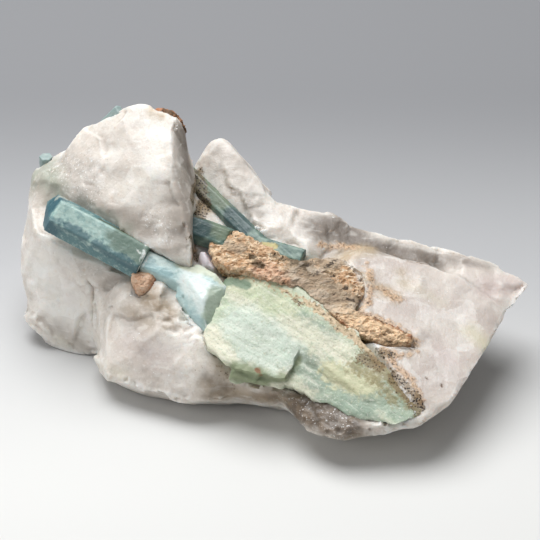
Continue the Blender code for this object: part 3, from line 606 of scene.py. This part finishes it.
def facet(piece, count, share, depth, seed, width, lean=0.06, calm=(), within=(), fit=0):
    """Breaks the skin into count flat faces that meet in soft edges, moving no corner by more than depth. The
    faces are shallower along the calm strokes. With strokes within, the faces lie only along those. With fit,
    a face takes its lean from the skin that far around its middle."""
    places = places_of(piece)
    normals = normals_of(piece)
    draw = np.random.default_rng(seed)
    keep = calmed(places, calm, 0.8)
    pick = None
    if within:
        keep *= ease(marked(places, within), 0.05, 0.4)
        pick = (keep > 0) / (keep > 0).sum()
    seeds = draw.choice(len(places), count, replace=False, p=pick)
    spots, facings = places[seeds].copy(), normals[seeds].copy()
    if fit:
        for index, spot in enumerate(places[seeds]):
            away = np.einsum("ij,ij->i", places - spot, places - spot)
            near = (away < fit * fit) & (normals @ facings[index] > 0.3)
            spots[index], facings[index] = places[near].mean(axis=0), normals[near].sum(axis=0)
        facings /= np.linalg.norm(facings, axis=1)[:, None]
    facings += draw.normal(size=facings.shape) * lean
    facings /= np.linalg.norm(facings, axis=1)[:, None]
    moves = np.zeros(len(places))
    batch, blended, turn_cost = 4000, 3, 10
    for start in range(0, len(places), batch):
        here, looks = places[start:start + batch], normals[start:start + batch]
        offset = here[:, None, :] - spots[None, :, :]
        height = np.einsum("ijk,jk->ij", offset, facings)
        turn = 1 - looks @ facings.T
        away = np.sqrt(np.einsum("ijk,ijk->ij", offset, offset)) + turn_cost * turn
        order = np.argpartition(away, blended - 1, axis=1)[:, :blended]
        near = np.take_along_axis(away, order, 1)
        weight = np.maximum(0, 1 - (near - near.min(axis=1)[:, None]) / width) ** 2
        weight /= weight.sum(axis=1)[:, None]
        moves[start:start + batch] = -(np.take_along_axis(height, order, 1) * weight).sum(axis=1)
    moves = depth * np.tanh(moves * share / depth) * keep
    moves *= off_floor(places)
    place_all(piece, places + normals * moves[:, None])


def flatten(piece, faces):
    """Levels the skin to each flat face: three of its corners, and how far it reaches from their middle."""
    places = places_of(piece)
    normals = normals_of(piece)
    for corners, reach in faces:
        first, second, third = (np.array(corner, float) for corner in corners)
        facing = np.cross(second - first, third - first)
        facing /= np.linalg.norm(facing)
        offset = places - (first + second + third) / 3
        height = offset @ facing
        aside = np.linalg.norm(offset - height[:, None] * facing, axis=1)
        share = (1 - ease(np.abs(height), 1.4, 2.6)) * (1 - ease(aside, reach - 5, reach))
        share *= ease(normals @ facing, 0.4, 0.75)
        places -= (0.85 * share * height)[:, None] * facing
    place_all(piece, places)


def chip(place, width, bend):
    """A shell-shaped chip: 0 at its middle, rising to the ridge where it meets the next one."""
    return noise.voronoi(place / width + bend)[0][0]


def blocks(place, width, lift, tilt):
    """Broken blocks: each has a height of its own and leans a way of its own."""
    middle = noise.voronoi(place / width)[1][0]
    lean = noise.cell_vector(middle * 9.7) - Vector((0.5, 0.5, 0.5))
    return lift * noise.cell(middle * 5.3) + tilt * (place / width - middle).dot(lean)


def quartz_relief(place):
    bend = noise.noise_vector(place / 9) * 0.45
    rough = 0.5 + 0.5 * noise.noise(place / 14 + Vector((3, 7, 1)))
    height = 0.12 * (chip(place, 8, bend) - 0.5) + 0.1 * rough * (chip(place, 3.4, bend * 2) - 0.5)
    height += blocks(place + bend * 2, 5.5, 0.03, 0.1) + rough * blocks(place + bend, 2.1, 0.03, 0.1)
    return height + 0.05 * noise.noise(place / 1.1)


def make_quartz():
    piece = fine_skin(add_piece("quartz_block", solid_copy("quartz_matrix")), QUARTZ_GRAIN)
    facet(piece, 80, 1, 2.2, 11, 0.8, 0.02, within=BROAD_FACES, fit=5)
    places = places_of(piece)
    places -= normals_of(piece) * (1.8 * ease(marked(places, QUARTZ_HOLLOWS), 0, 0.7))[:, None]
    place_all(piece, places)
    closest = np.full(len(places), 9.0)
    for near in nearness(piece, SET_IN_QUARTZ, reach=2.0).values():
        for index, _, _, away in near:
            closest[index] = min(closest[index], abs(away))
    share = ease(closest, 0.5, 1.8) * off_floor(places) * calmed(places, QUARTZ_MARKS["calm"], 0.7)
    heights = np.array([
        quartz_relief(Vector(place)) if part > 0 else 0 for place, part in zip(places, share)])
    lines = 0.4 * marked(places, QUARTZ_MARKS["crest"]) - 0.45 * marked(places, QUARTZ_MARKS["crease"])
    place_all(piece, places + normals_of(piece) * ((heights + lines) * share)[:, None])
    flatten(piece, QUARTZ_FACES)
    facet(piece, 420, 0.8, 0.6, 3, 1.2, calm=QUARTZ_MARKS["calm"], fit=2)
    facet(piece, 2600, 0.5, 0.2, 5, 0.9, calm=QUARTZ_MARKS["calm"])
    facet(piece, 500, 0.8, 0.22, 7, 0.8, 0.16, within=QUARTZ_MARKS["spark"])
    facet(piece, 420, 1, 0.7, 13, 0.6, 0.4, within=RAGGED_EDGES)
    store_standout(piece)
    sink_under_crystals(piece)
    thin_out(piece, QUARTZ_TRIANGLES)
    paint(piece, QUARTZ_MARKS)
    return piece


def make_crystal(name, node, axis, marks, swell):
    """A prismatic beryl crystal with growth lines along it and a slightly pitted skin."""
    piece = fine_skin(add_piece(name, solid_copy(node, swell)), CRYSTAL_GRAIN)

    def height(place):
        across, broad, along = growth_of(np.array([place]), *axis)[0]
        lines = noise.noise(Vector((across * 1.6, broad * 1.6, along * 0.07)))
        return 0.03 * lines + 0.09 * noise.noise(place / 1.8) + 0.06 * noise.noise(place / 0.7)

    relief(piece, height)
    store_growth(piece, axis)
    paint(piece, marks)
    return piece


def slab_relief(place, axis):
    across, broad, along = growth_of(np.array([place]), *axis)[0]
    fibre = noise.noise(Vector((across * 0.9, broad * 0.9, along * 0.12)))
    step = noise.noise(Vector((across * 0.35, broad * 0.5, along * 0.09)) + Vector((9, 2, 4)))
    terrace = round(step * 3) / 3
    return 0.25 * terrace + 0.12 * fibre + 0.12 * noise.noise(place / 1.7) + 0.07 * noise.noise(place / 0.7)


def warp(piece, width, reach, broad):
    """Frays the outline of a plate by up to reach, in waves as wide as width. Its broad face stays level."""
    places = places_of(piece)
    moves = np.array([noise.noise_vector(Vector(place) / width) for place in places]) * reach
    broad = np.array(broad) / np.linalg.norm(broad)
    place_all(piece, places + moves - (moves @ broad)[:, None] * broad)


def make_slab(name, node, axis, marks, swell):
    """A plate of beryl, its outline frayed in the plane of its broad face, with fibres and low steps."""
    piece = fine_skin(add_piece(name, solid_copy(node, swell)), SLAB_GRAIN)
    warp(piece, 7, 2.2, axis[2])
    warp(piece, 2.4, 0.7, axis[2])
    relief(piece, lambda place: slab_relief(place, axis) - 0.1)
    store_growth(piece, axis)
    paint(piece, marks)
    return piece


def crust_relief(place):
    """Feldspar breaks in small leaning plates, with pits between them."""
    laid = Vector((0.55 * place.x - 0.45 * place.y, 0.8 * place.y + 0.4 * place.x, place.z * 1.4))
    bend = noise.noise_vector(place / 4) * 0.8
    pit = max(0, noise.noise(place / 2.4 + Vector((5, 5, 5))) - 0.08)
    height = blocks(laid + bend, 1.9, 0.3, 1.1) + blocks(laid + bend, 0.85, 0.2, 0.6)
    return 0.2 + height - 1.3 * pit + 0.2 * noise.noise(place / 3.5) + 0.12 * noise.noise(place / 0.6)


def make_crust(name, node, marks, swell, rough):
    piece = fine_skin(add_piece(name, solid_copy(node, swell)), CRUST_GRAIN)
    heights = relief(piece, lambda place: rough * crust_relief(place), marks.get("grey_and_shade", ()))
    store(piece, "rise", heights)
    paint(piece, marks)
    return piece


def colour(code):
    """Six hexadecimal digits as the linear red, green, blue and alpha that a shader takes."""
    shares = [int(code[at:at + 2], 16) / 255 for at in (0, 2, 4)]
    return (*[share / 12.92 if share <= 0.04045 else ((share + 0.055) / 1.055) ** 2.4 for share in shares], 1)


class Wire:
    """A socket's output, with which ordinary arithmetic adds Math nodes to its finish."""

    def __init__(self, finish, socket):
        self.finish = finish
        self.socket = socket

    def maths(self, operation, first, second):
        return self.finish.node("ShaderNodeMath", {"operation": operation}, {0: first, 1: second})

    def __add__(self, other):
        return self.maths("ADD", self, other)

    __radd__ = __add__

    def __sub__(self, other):
        return self.maths("SUBTRACT", self, other)

    def __rsub__(self, other):
        return self.maths("SUBTRACT", other, self)

    def __mul__(self, other):
        return self.maths("MULTIPLY", self, other)

    __rmul__ = __mul__

    def between(self, low, high):
        """0 below low, 1 above high, and a smooth rise between them."""
        return self.finish.node(
            "ShaderNodeMapRange", {"interpolation_type": "SMOOTHSTEP"}, {0: self, 1: low, 2: high})


class Finish:
    """The shader of one material, which is built up from its tone."""

    def __init__(self, name, roughness=0.5, ior=1.55, glow=0.0, depth=1.0, depths=(1, 1, 1)):
        self.material = bpy.data.materials.new(name)
        self.material.use_nodes = True
        self.tree = self.material.node_tree
        self.shader = self.tree.nodes["Principled BSDF"]
        for socket, value in (("Roughness", roughness), ("IOR", ior), ("Subsurface Weight", glow),
                              ("Subsurface Scale", depth * MM), ("Subsurface Radius", depths)):
            self.shader.inputs[socket].default_value = value
        place = self.node("ShaderNodeTexCoord", {}, {}, "Object")
        self.place = self.node("ShaderNodeVectorMath", {"operation": "SCALE"}, {0: place, 3: 1 / MM})

    def node(self, kind, settings, inputs, output=0):
        made = self.tree.nodes.new(kind)
        for setting, value in settings.items():
            setattr(made, setting, value)
        for socket, value in inputs.items():
            if isinstance(value, Wire):
                self.tree.links.new(value.socket, made.inputs[socket])
            else:
                made.inputs[socket].default_value = value
        return Wire(self, made.outputs[output])

    def mix(self, share, first, second):
        """The first colour where share is 0, and the second where it is 1."""
        first, second = (colour(tone) if isinstance(tone, str) else tone for tone in (first, second))
        return self.node("ShaderNodeMix", {"data_type": "RGBA"}, {0: share, 6: first, 7: second}, 2)

    def lay(self, share, over):
        """Lays another colour over the tone."""
        self.tone = self.mix(share, self.tone, over)

    def vector(self, operation, *inputs):
        return self.node("ShaderNodeVectorMath", {"operation": operation}, dict(enumerate(inputs)))

    def grain(self, width, detail=3, stretch=(), wander=0.0, where=None):
        """Cloudy noise from 0 to 1, its lumps as wide as width divided by stretch along each axis."""
        where = where or self.place
        if stretch:
            where = self.vector("MULTIPLY", where, stretch)
        inputs = {"Vector": where, "Scale": 1 / width, "Detail": detail, "Distortion": wander}
        return self.node("ShaderNodeTexNoise", {}, inputs)

    def cells(self, width):
        """The distance to the middle of the nearest of many cells as wide as width."""
        return self.node("ShaderNodeTexVoronoi", {}, {"Vector": self.place, "Scale": 1 / width})

    def plates(self, width, bend_width, bend, stretch):
        """A value from 0 to 1 for each of many bent plates, as wide as width divided by stretch."""
        inputs = {"Vector": self.place, "Scale": 1 / bend_width, "Detail": 3}
        wander = self.vector("SUBTRACT", self.node("ShaderNodeTexNoise", {}, inputs, 1), (0.5, 0.5, 0.5))
        bent = self.vector("MULTIPLY_ADD", wander, (bend,) * 3, self.place)
        inputs = {"Vector": self.vector("MULTIPLY", bent, stretch), "Scale": 1 / width}
        tones = self.node("ShaderNodeTexVoronoi", {}, inputs, "Color")
        return self.node("ShaderNodeSeparateXYZ", {}, {0: tones})

    def attribute(self, name, output="Fac"):
        return self.node("ShaderNodeAttribute", {"attribute_name": name}, {}, output)

    def mark(self, name, fray=0.5, width=1.6, low=0.12, high=0.55):
        """A painted mark, its edges frayed by noise."""
        frayed = self.attribute(name) + (self.grain(width, 4) - 0.5) * fray
        return frayed.between(low, high)

    def tint(self, *marks):
        """Lays painted marks over the tone, each with its name, fray, width, share and colour."""
        for name, fray, width, share, over in marks:
            self.lay(self.mark(name, fray, width) * share, over)

    def use(self, socket, wire):
        self.tree.links.new(wire.socket, self.shader.inputs[socket])

    def finished(self, roughness, height, strength):
        """The material with its tone, its roughness and bumps as high as height says, in millimetres."""
        self.use("Base Color", self.tone)
        self.use("Roughness", roughness)
        inputs = {"Strength": strength, "Distance": MM, "Height": height}
        self.use("Normal", self.node("ShaderNodeBump", {}, inputs))
        return self.material


def quartz_finish():
    stone = Finish("white quartz", ior=1.54, glow=0.7, depth=3.2, depths=(1, 0.85, 0.75))
    cloud = stone.grain(15, 3, wander=0.6).between(0.38, 0.64)
    stone.tone = stone.mix(cloud, "e0d8cf", "f2ece3")
    veils = stone.grain(5, 4, (0.35, 1.0, 1.0), 0.8)
    stone.lay(veils.between(0.52, 0.75) * 0.5, "faf7f2")
    stone.lay(stone.grain(2.4, 5).between(0.48, 0.8) * 0.3, "c4bab0")
    stone.lay(stone.grain(0.7, 4).between(0.5, 0.8) * 0.45, "bdb3a8")
    stone.lay(stone.grain(0.9, 4).between(0.55, 0.75) * 0.5, "fffdf9")
    # Painted light, paler on the peak and the left boulder.
    stone.lay(stone.mark("painted_light", 0.2, 4.0, 0.0, 0.8) * 0.75, "f9f6f0")
    # Painted shade on the white slab, in a pinkish tone.
    blush_and_shade = stone.mix(cloud, "cdc1ba", "d9d0c8")
    stone.lay(stone.mark("blush_and_shade", 0.2, 6.0, 0.0, 0.6) * 0.8, blush_and_shade)
    # Painted highlight along the edges that stand out of the skin.
    standout = stone.attribute("standout") + (stone.grain(1.2, 3) - 0.5) * 0.05
    stone.lay(standout.between(0.03, 0.16) * 0.28, "fbf9f4")
    sheet = stone.plates(4.5, 3, 2.5, (0.7, 0.5, 1))
    stone.lay(sheet.between(0.5, 0.9) * 0.12, "b9aea4")
    stone.lay(sheet.between(0.4, 0.1) * 0.25, "fffdfa")
    # Darker in the hollows.
    stone.lay(standout.between(-0.03, -0.16) * 0.25, "a09484")
    # Two of these marks lay painted shade: the shade mark, and the greyish mark, which also lays the stone's
    # own greyish tone.
    for name, over, share, fray in (
            ("pink", "d5c3bf", 0.6, 0.3), ("yellow", "d9d3b2", 0.6, 0.3), ("grey_and_shade", "ada399", 0.8, 0.3),
            ("moss", "adb5a6", 0.9, 0.4), ("aqua", "bcd6d6", 0.85, 0.5), ("shade", "857b72", 1, 0.35),
            ("tan", "b7a283", 0.85, 0.6), ("umber", "a08d74", 0.85, 0.35), ("lilac", "e2dae0", 1, 0.3)):
        stone.lay(stone.mark(name, fray, 3.0, 0.0, 0.8) * share, over)
    # Painted shade along the creases.
    stone.lay(stone.mark("crease", 0.5, 1.5, 0.2, 1) * 0.2, "8e8070")
    # Painted highlight along the crests.
    stone.lay(stone.mark("crest", 1.2, 1.2, 0.3, 1) * 0.45, "fdfbf7")
    streaks = stone.grain(2.2, 4, (0.22, 0.5, 1), 0.4)
    stone.lay(streaks.between(0.54, 0.7) * 0.35, "fbf8f3")
    # Painted glints: sparse white flecks, in patches.
    glint_flecks = stone.grain(0.9, 2, (0.5, 1, 1), 0.3)
    glint_patches = stone.grain(9, 2).between(0.5, 0.62)
    stone.lay(glint_flecks.between(0.7, 0.76) * glint_patches * 0.8, "ffffff")
    smoke = stone.mix(stone.grain(4, 4, wander=0.5).between(0.4, 0.65), "4a3822", "6b573f")
    stone.lay(stone.mark("smoky", 0.3, 3.0, 0.0, 0.8) * 0.92, smoke)
    spark = stone.mark("spark", 0.4, 3.0, 0.0, 0.6)
    glints = stone.grain(0.6, 1)
    stone.lay(spark * glints.between(0.64, 0.71) * 0.8, "ffffff")
    stone.lay(spark * glints.between(0.38, 0.28) * 0.4, "8d857a")
    stone.lay(stone.mark("fleck", 0.6, 0.5), "6b5138")
    frayed = stone.mark("fray", 1.3, 1.6, 0.1, 0.75)
    crumbs = stone.grain(0.8, 3)
    crust = stone.mix(crumbs.between(0.42, 0.58), "b08c68", "dcbb98")
    stone.lay(frayed * 0.8, crust)
    stone.lay(frayed * crumbs.between(0.42, 0.3), "5c4833")
    stain = stone.mark("stain", 1.1, 1.0, 0.2, 0.5)
    stone.lay(stain * 0.75, "8b7350")
    specks = stain * (1 - stone.cells(0.75).between(0.34, 0.5))
    stone.lay(specks, "35261a")
    roughness = 0.3 + stone.grain(3, 4) * 0.25 - spark * 0.1
    height = stone.grain(1.2, 5) * 0.35 + stone.grain(0.45, 3) * 0.16 + frayed * crumbs * 0.8
    return stone.finished(roughness, height, 0.5)


def prism_finish(name, broad_tone, side_tone, dull=0.0):
    """Blue beryl, cloudy on its broad face. A dull crystal is paler and greyer."""
    beryl = Finish(name, ior=1.58, glow=0.25, depth=2, depths=(0.6, 0.9, 1))
    growth = beryl.attribute("growth", "Vector")
    lines = beryl.grain(1.1, 4, (1, 1, 0.12), where=growth)
    mottle = beryl.grain(1.3, 5, (1, 1, 0.8), 0.4, where=growth)
    face = beryl.node("ShaderNodeSeparateXYZ", {}, {0: growth}, 1)
    beryl.tone = beryl.mix((face + (mottle - 0.5) * 2.2).between(2.7, 4.1), side_tone, broad_tone)
    beryl.lay(mottle.between(0.5, 0.7) * 0.5, "c2d3cc")
    beryl.lay(mottle.between(0.5, 0.32) * 0.45, "5c858a")
    beryl.lay(lines.between(0.55, 0.75) * 0.1, "4a7277")
    beryl.lay(beryl.grain(0.6, 3).between(0.6, 0.75) * 0.35, "d3dfd8")
    beryl.tint(
        ("glass", 0.4, 1.6, 0.9, "687d70"), ("dark", 0.9, 1.1, 0.8, "38616b"),
        ("tip", 0.3, 1.5, 0.95, "38626d"), ("rim", 0.5, 1.0, 0.85, "4f5138"),
        ("crust", 1.2, 1.0, 0.6, "c9cbbd"), ("glint", 0.9, 0.8, 0.9, "f2f6f2"))
    if dull:
        beryl.lay(dull, "a3b0aa")
    roughness = 0.32 + beryl.grain(1.5, 3) * 0.25
    height = lines * 0.06 + beryl.grain(0.9, 4) * 0.12 + beryl.grain(0.4, 3) * 0.1
    return beryl.finished(roughness, height, 0.5)


def shaft_finish():
    beryl = Finish("pale aquamarine", ior=1.58, glow=0.3, depth=3, depths=(0.7, 0.9, 1))
    cloud = beryl.grain(4, 4, wander=0.5)
    beryl.tone = beryl.mix(cloud.between(0.4, 0.65), "b7d3d2", "d6e8e4")
    beryl.lay(beryl.grain(0.9, 4).between(0.55, 0.75) * 0.4, "e9f4f0")
    beryl.tint(
        ("cloud", 0.6, 2.5, 0.8, "edf6f2"), ("shade", 0.4, 1.5, 0.9, "b4c3b0"),
        ("deep", 0.6, 1.6, 0.5, "7ba3aa"), ("bank", 0.5, 1.5, 0.85, "cfd5bd"),
        ("notch", 0.5, 1.0, 0.9, "5f7a78"), ("rim", 0.5, 0.8, 0.8, "55584a"),
        ("glint", 0.7, 0.8, 0.7, "f6fbf8"))
    roughness = 0.3 + beryl.grain(1.5, 3) * 0.25
    height = beryl.grain(1.4, 4) * 0.4 + beryl.grain(0.5, 3) * 0.15
    return beryl.finished(roughness, height, 0.6)


def slab_finish():
    beryl = Finish("mint beryl", ior=1.57, glow=0.25, depth=2, depths=(0.8, 1, 0.9))
    growth = beryl.attribute("growth", "Vector")
    fibres = beryl.grain(1.5, 5, (1, 1, 0.16), 0.5, where=growth)
    patches = beryl.grain(5, 4, (1, 1, 0.45), 0.6, where=growth)
    beryl.tone = beryl.mix(patches.between(0.38, 0.62), "bdcab0", "dadac4")
    beryl.tint(
        ("lime", 0.6, 2.5, 0.5, "c9cfa8"), ("deep", 1.2, 1.8, 0.7, "8a9f90"),
        ("blue", 0.8, 2.5, 0.75, "cfdcd0"), ("pale", 0.9, 2.0, 0.75, "a5b9a6"),
        ("cream", 0.8, 2.0, 0.7, "eeead4"))
    beryl.lay(fibres.between(0.56, 0.72) * 0.3, "9fb08e")
    beryl.lay(fibres.between(0.46, 0.3) * 0.4, "f5f4e6")
    beryl.lay(beryl.grain(0.6, 3).between(0.56, 0.7) * 0.45, "f7f6ec")
    beryl.lay(beryl.grain(0.8, 4).between(0.46, 0.3) * 0.4, "8fa287")
    # Of these marks, the arc lays painted shade.
    beryl.tint(
        ("yellow", 1.4, 1.4, 0.6, "e0dab0"), ("ochre", 1.4, 1.1, 0.7, "998b5c"),
        ("olive", 0.6, 1.6, 0.85, "85906c"), ("arc", 0.5, 1.2, 0.85, "6f8a72"),
        ("rim", 0.6, 1.0, 0.3, "7c7a4c"))
    frayed = beryl.mark("fray", 1.4, 1.3, 0.25, 0.5)
    crumbs = beryl.grain(0.9, 3)
    crust = beryl.mix(crumbs.between(0.4, 0.6), "a98b63", "d9bc98")
    beryl.lay(frayed * 0.8, crust)
    beryl.lay(frayed * crumbs.between(0.42, 0.3), "5a4731")
    dirt = beryl.mark("speck", 1.2, 0.9, 0.25, 0.5)
    beryl.lay(dirt * 0.8, "87704a")
    beryl.lay(dirt * (1 - beryl.cells(0.8).between(0.2, 0.4)), "40301f")
    beryl.lay(beryl.mark("rust", 0.6, 0.8) * 0.9, "8a5a34")
    roughness = 0.45 + beryl.grain(2, 3) * 0.25
    height = fibres * 0.35 + beryl.grain(0.7, 5) * 0.3 + beryl.grain(0.3, 3) * 0.1
    return beryl.finished(roughness, height, 0.6)


def saddle_finish():
    beryl = Finish("deep aquamarine", ior=1.58, glow=0.15, depth=2, depths=(0.6, 1, 0.9))
    growth = beryl.attribute("growth", "Vector")
    lines = beryl.grain(0.9, 4, (1, 1, 0.1), 0.3, where=growth)
    cloud = beryl.grain(3.0, 5)
    beryl.tone = beryl.mix(cloud.between(0.4, 0.65), "4c6a63", "7d9487")
    beryl.lay(lines.between(0.5, 0.7) * 0.35, "97b0a4")
    beryl.tint(
        ("moss", 0.6, 2.0, 0.75, "727f66"), ("night", 0.6, 2.0, 0.85, "2f4c50"),
        ("yellow", 1.0, 1.0, 0.8, "cdbb72"))
    stain = beryl.mark("stain", 1.0, 1.0, 0.2, 0.5)
    beryl.lay(stain * 0.75, "766344")
    beryl.lay(stain * (1 - beryl.cells(0.75).between(0.34, 0.5)), "2e2117")
    roughness = 0.3 + beryl.grain(1.5, 3) * 0.25
    height = lines * 0.25 + beryl.grain(0.5, 4) * 0.12
    return beryl.finished(roughness, height, 0.6)


def feldspar_finish():
    stone = Finish("orange feldspar", roughness=0.8, ior=1.53, glow=0.1, depth=1, depths=(1, 0.6, 0.4))
    patches = stone.grain(2.6, 5, wander=0.5)
    stone.tone = stone.mix(patches.between(0.36, 0.64), "c59a72", "e6caa8")
    flakes = stone.grain(1.0, 4, (0.6, 1, 1), 0.4)
    stone.lay(flakes.between(0.53, 0.68) * 0.8, "f0e2cb")
    stone.lay(flakes.between(0.45, 0.3) * 0.7, "8f6e4b")
    stone.tint(
        ("pink", 0.7, 2.0, 0.5, "d8ab92"), ("grey_and_shade", 0.9, 2.2, 0.8, "a9967f"),
        ("light", 0.7, 1.6, 0.75, "f6d6b0"), ("white", 0.9, 1.8, 0.9, "e6ddd2"),
        ("red", 0.8, 1.5, 0.8, "b26a44"), ("pit", 1.2, 1.0, 0.85, "5a4c34"),
        ("rust", 1.2, 0.9, 0.7, "9a5a35"))
    rise = stone.attribute("rise")
    stone.lay(rise.between(-0.1, -0.8) * 0.75, "57432f")
    layers = stone.grain(1.6, 4, (0.3, 0.5, 1.6), 0.3)
    layered = stone.mark("grey_and_shade", 0.9, 2.2)
    stone.lay(layered * layers.between(0.45, 0.32) * 0.7, "6e5c48")
    stone.lay(layered * layers.between(0.56, 0.7) * 0.5, "ded0bf")
    plate = stone.plates(2.4, 2, 1.5, (0.5, 0.8, 1.4))
    stone.lay(layered * plate.between(0.5, 0.9) * 0.5, "d3c3af")
    stone.lay(layered * plate.between(0.4, 0.1) * 0.4, "8b7762")
    stone.lay(stone.mark("crack", 1.2, 0.7, 0.2, 0.5) * 0.8, "3a2e24")
    specks = (1 - stone.cells(1.6).between(0.08, 0.2)) * stone.grain(5, 2).between(0.45, 0.6)
    stone.lay(specks * 0.8, "3d2f22")
    roughness = 0.6 + stone.grain(1.5, 3) * 0.3
    height = stone.grain(0.8, 5) * 0.7 + stone.cells(0.7) * 0.2 + layered * layers * 1.6
    return stone.finished(roughness, height, 0.9)


def finish_piece(piece, material, slot, node):
    piece.data.materials.clear()
    piece.data.materials.append(material)
    piece.data.shade_smooth()
    piece.data.set_sharp_from_angle(angle=math.radians(SHARP_DEGREES))
    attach(piece, "root")
    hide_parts(node)


def make_specimen():
    finish_piece(make_quartz(), quartz_finish(), "white_quartz", "quartz_matrix")
    aquamarine = prism_finish("aquamarine", "a3beb7", "587f82")
    dull_aquamarine = prism_finish("dull aquamarine", "a3beb7", "7b979a", 0.55)
    deep = saddle_finish()
    for name, node, axis, marks, swell, material, slot in (
            ("blue_prism", "aquamarine_prism", ((-68.5, 15.26, 45.2), (-39.3, 2.36, 35.4), (0, -0.61, 0.79)),
             PRISM_MARKS, 0.28, aquamarine, "teal_beryl"),
            ("pale_shaft", "aquamarine_shaft", ((-38.7, 2.56, 35), (-22.5, -4.24, 30.5), (0, -0.55, 0.83)),
             SHAFT_MARKS, 0.28, shaft_finish(), "pale_beryl"),
            ("beryl_plate", "beryl_slab", ((-20, -10, 34), (38, -54, 15), (0, -0.6, 0.8)),
             SLAB_MARKS, 0.15, slab_finish(), "mint_beryl"),
            ("saddle_long", "saddle_crystal_long", ((-27, 34.3, 47), (-3.5, 7.8, 37.5), (-0.2, -0.5, 0.85)),
             LONG_MARKS, 0.12, deep, "deep_beryl"),
            ("saddle_short", "saddle_crystal_short", ((-27, 11.8, 42.5), (-13, 7.4, 39.2), (0, -0.6, 0.8)),
             SHORT_MARKS, 0.12, deep, "deep_beryl"),
            ("ledge_tip", "left_tip_crystal", ((-71.5, 47.3, 36), (-71.5, 47.3, 45.3), (0, -1, 0)),
             {}, 0.12, dull_aquamarine, "teal_beryl"),
            ("peak_sliver", "peak_sliver_crystal", ((-55, 43.8, 57), (-47, 43.8, 65.5), (-0.4, -0.6, 0.6)),
             {}, 0.12, dull_aquamarine, "teal_beryl")):
        make = make_slab if name == "beryl_plate" else make_crystal
        finish_piece(make(name, node, axis, marks, swell), material, slot, node)
    feldspar = feldspar_finish()
    for name, node, marks, swell, rough in (
            ("vein_crust", "feldspar_vein", VEIN_MARKS, 0.4, 1),
            ("wedge_crust", "feldspar_wedge", WEDGE_MARKS, 0.8, 0.4),
            ("cap_crust", "feldspar_cap", CAP_MARKS, 1.2, 0.6)):
        finish_piece(make_crust(name, node, marks, swell, rough), feldspar, "orange_feldspar", node)


def make_floor():
    """A plain pale table with painted shade: its colour darkens evenly to the back."""
    bm = bmesh.new()
    bmesh.ops.create_grid(bm, x_segments=8, y_segments=8, size=3)
    floor = add_piece("floor", bm)
    paper = Finish("pale table", roughness=0.8)
    depth = paper.node("ShaderNodeSeparateXYZ", {}, {0: paper.place}, 1)
    # Painted shade: darker towards the back.
    paper.tone = paper.mix(depth.between(-70, 60), "e0e0de", "b7b8ba")
    paper.lay(depth.between(20, 170), "86878a")
    paper.use("Base Color", paper.tone)
    floor.data.materials.append(paper.material)


def add_light(name, place, aim, size, power, tint=(1, 1, 1)):
    light = bpy.data.lights.new(name, "AREA")
    light.shape = "DISK"
    light.size = size
    light.energy = power
    light.color = tint
    lamp = bpy.data.objects.new(name, light)
    bpy.context.scene.collection.objects.link(lamp)
    lamp.location = place
    lamp.rotation_euler = (Vector(aim) - Vector(place)).to_track_quat("-Z", "Y").to_euler()


def light_stage():
    world = bpy.data.worlds.new("studio")
    bpy.context.scene.world = world
    world.use_nodes = True
    world.node_tree.nodes["Background"].inputs["Color"].default_value = (0.96, 0.98, 1, 1)
    world.node_tree.nodes["Background"].inputs["Strength"].default_value = 0.2
    add_light("key", (-0.14, 0.3, 0.85), (0, 0, 0.02), 0.85, 10.9)
    add_light("side", (-0.7, -0.25, 0.35), (-0.06, 0, 0.02), 0.5, 1.2)


def place_camera():
    view_angle = math.radians(35)
    distance = 0.7
    millimetres_per_pixel = 0.3137
    picture_width = 540
    sensor_width = 36
    target = Vector((-0.0008, 0.01268, 0.025))
    back = Vector((0, -math.cos(view_angle), math.sin(view_angle)))
    camera = bpy.data.cameras.new("camera")
    camera.sensor_width = sensor_width
    camera.lens = sensor_width * distance / (picture_width * millimetres_per_pixel * MM)
    eye = bpy.data.objects.new("camera", camera)
    bpy.context.scene.collection.objects.link(eye)
    eye.location = target + back * distance
    eye.rotation_euler = (-back).to_track_quat("-Z", "Y").to_euler()
    bpy.context.scene.camera = eye
    bpy.context.scene.view_settings.view_transform = "Standard"


place_camera()
light_stage()
make_floor()
make_specimen()
